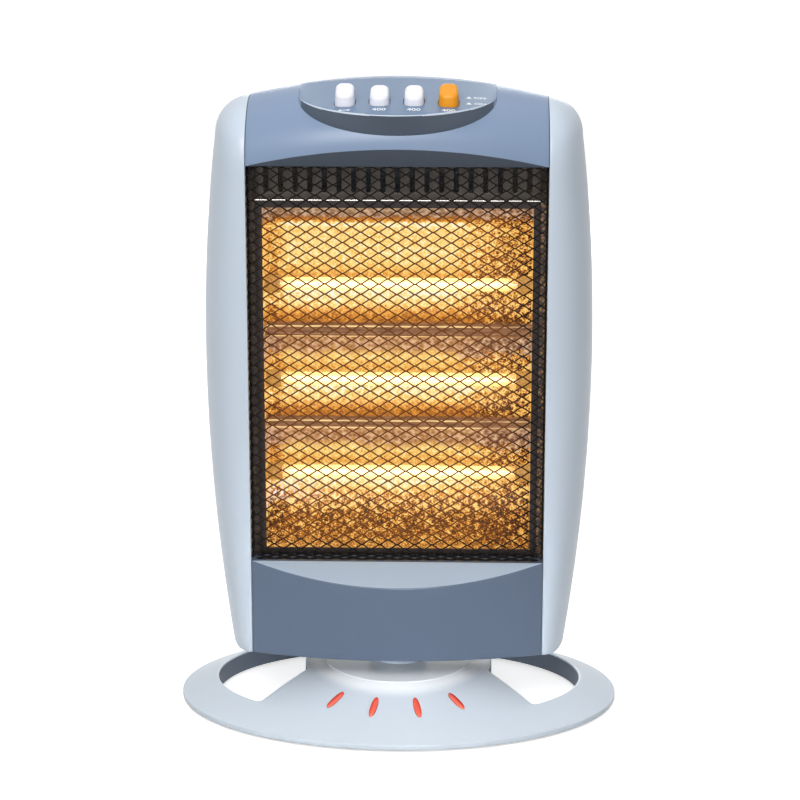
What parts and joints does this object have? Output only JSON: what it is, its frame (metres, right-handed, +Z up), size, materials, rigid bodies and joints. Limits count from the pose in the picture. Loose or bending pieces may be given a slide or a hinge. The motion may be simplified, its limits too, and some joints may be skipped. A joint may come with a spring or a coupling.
{
  "type": "halogen heater",
  "caption": "Upright halogen heater: quartz lamps in an embossed reflector behind an expanded-metal grille, push buttons on top, in a head that swings on an oval base.",
  "frame": {"origin": "where the swing axis meets the floor, under the middle of the base", "axes": "+Z up along the swing axis; the grille and the buttons face -Y; +X is the heater's right side seen from the front"},
  "size_m": [0.368, 0.252, 0.528],
  "materials": {
    "shell_grey": "semi-gloss, light blue-grey",
    "shell_blue": "semi-gloss, blue-grey",
    "mesh_black": "heat-resistant black",
    "reflector_metal": "bright, pebble-embossed",
    "zinc_sheet": "zinc-plated sheet",
    "quartz": "clear quartz, glowing from inside",
    "filament_wire": "resistance wire at orange heat",
    "ceramic_white": "unglazed",
    "button_white": "glossy white",
    "button_orange": "glossy orange",
    "marker_red": "translucent red",
    "rubber_black": "matt",
    "steel": "plain",
    "black_plastic": "matt",
    "acetal_white": "natural white"
  },
  "bodies": {
    "base": {"base_shell": "shell_grey", "base_bottom_plate": "zinc_sheet", "foot_1": "rubber_black", "foot_2": "rubber_black", "foot_3": "rubber_black", "foot_4": "rubber_black", "base_marker_1": "marker_red", "base_marker_2": "marker_red", "base_marker_3": "marker_red", "base_marker_4": "marker_red", "neck_post": "shell_grey", "pivot_washer": "acetal_white", "pivot_nut": "steel", "swing_slot_plate": "zinc_sheet", "tip_switch": "black_plastic"},
    "tip_plunger_body": {"tip_plunger": "acetal_white"},
    "head": {"side_cover_left": "shell_grey", "side_cover_right": "shell_grey", "top_cover": "shell_blue", "lower_front_panel": "shell_blue", "rear_cover": "shell_grey", "grip_cup": "shell_grey", "cord_gland": "rubber_black", "chassis_floor": "zinc_sheet", "motor_bracket": "zinc_sheet", "swing_motor": "steel", "terminal_block": "ceramic_white", "grille": "mesh_black", "vent_plate": "zinc_sheet", "reflector": "reflector_metal", "lamp_bracket_left": "zinc_sheet", "lamp_bracket_right": "zinc_sheet", "quartz_tube_1": "quartz", "quartz_tube_2": "quartz", "quartz_tube_3": "quartz", "filament_1": "filament_wire", "filament_2": "filament_wire", "filament_3": "filament_wire", "ceramic_cap_1_left": "ceramic_white", "ceramic_cap_1_right": "ceramic_white", "ceramic_cap_2_left": "ceramic_white", "ceramic_cap_2_right": "ceramic_white", "ceramic_cap_3_left": "ceramic_white", "ceramic_cap_3_right": "ceramic_white", "switch_bracket": "zinc_sheet", "switch_1": "black_plastic", "switch_2": "black_plastic", "switch_3": "black_plastic", "switch_4": "black_plastic"},
    "crank": {"swing_crank": "acetal_white"},
    "button_1_body": {"button_1": "button_white"},
    "button_2_body": {"button_2": "button_white"},
    "button_3_body": {"button_3": "button_white"},
    "button_4_body": {"button_4": "button_orange"}
  },
  "joints": [
    {"name": "head_swing", "type": "hinge", "parent": "base", "child": "head", "pos_m": [0, 0, 0.0569], "axis": [0, 0, 1], "range_deg": [-35, 35]},
    {"name": "crank_turn", "type": "hinge", "parent": "head", "child": "crank", "pos_m": [0, 0.022, 0.072], "axis": [0, 0, 1], "range_deg": [-126, 126]},
    {"name": "tip_plunge", "type": "slide", "parent": "base", "child": "tip_plunger_body", "axis": [0, 0, 1], "range_m": [-0.004, 0], "stiffness_N_per_m": 50, "springref_m": -0.006},
    {"name": "button_1_press", "type": "slide", "parent": "head", "child": "button_1_body", "axis": [0, 0.237, -0.9715], "range_m": [0, 0.004], "stiffness_N_per_m": 300, "springref_m": -0.001},
    {"name": "button_2_press", "type": "slide", "parent": "head", "child": "button_2_body", "axis": [0, 0.237, -0.9715], "range_m": [-0.003, 0.001]},
    {"name": "button_3_press", "type": "slide", "parent": "head", "child": "button_3_body", "axis": [0, 0.237, -0.9715], "range_m": [-0.003, 0.001]},
    {"name": "button_4_press", "type": "slide", "parent": "head", "child": "button_4_body", "axis": [0, 0.237, -0.9715], "range_m": [0, 0.004], "stiffness_N_per_m": 300, "springref_m": -0.001}
  ],
  "couplings": [
    {"joint": "crank_turn", "follows": "head_swing", "ratio": -3.5714}
  ]
}
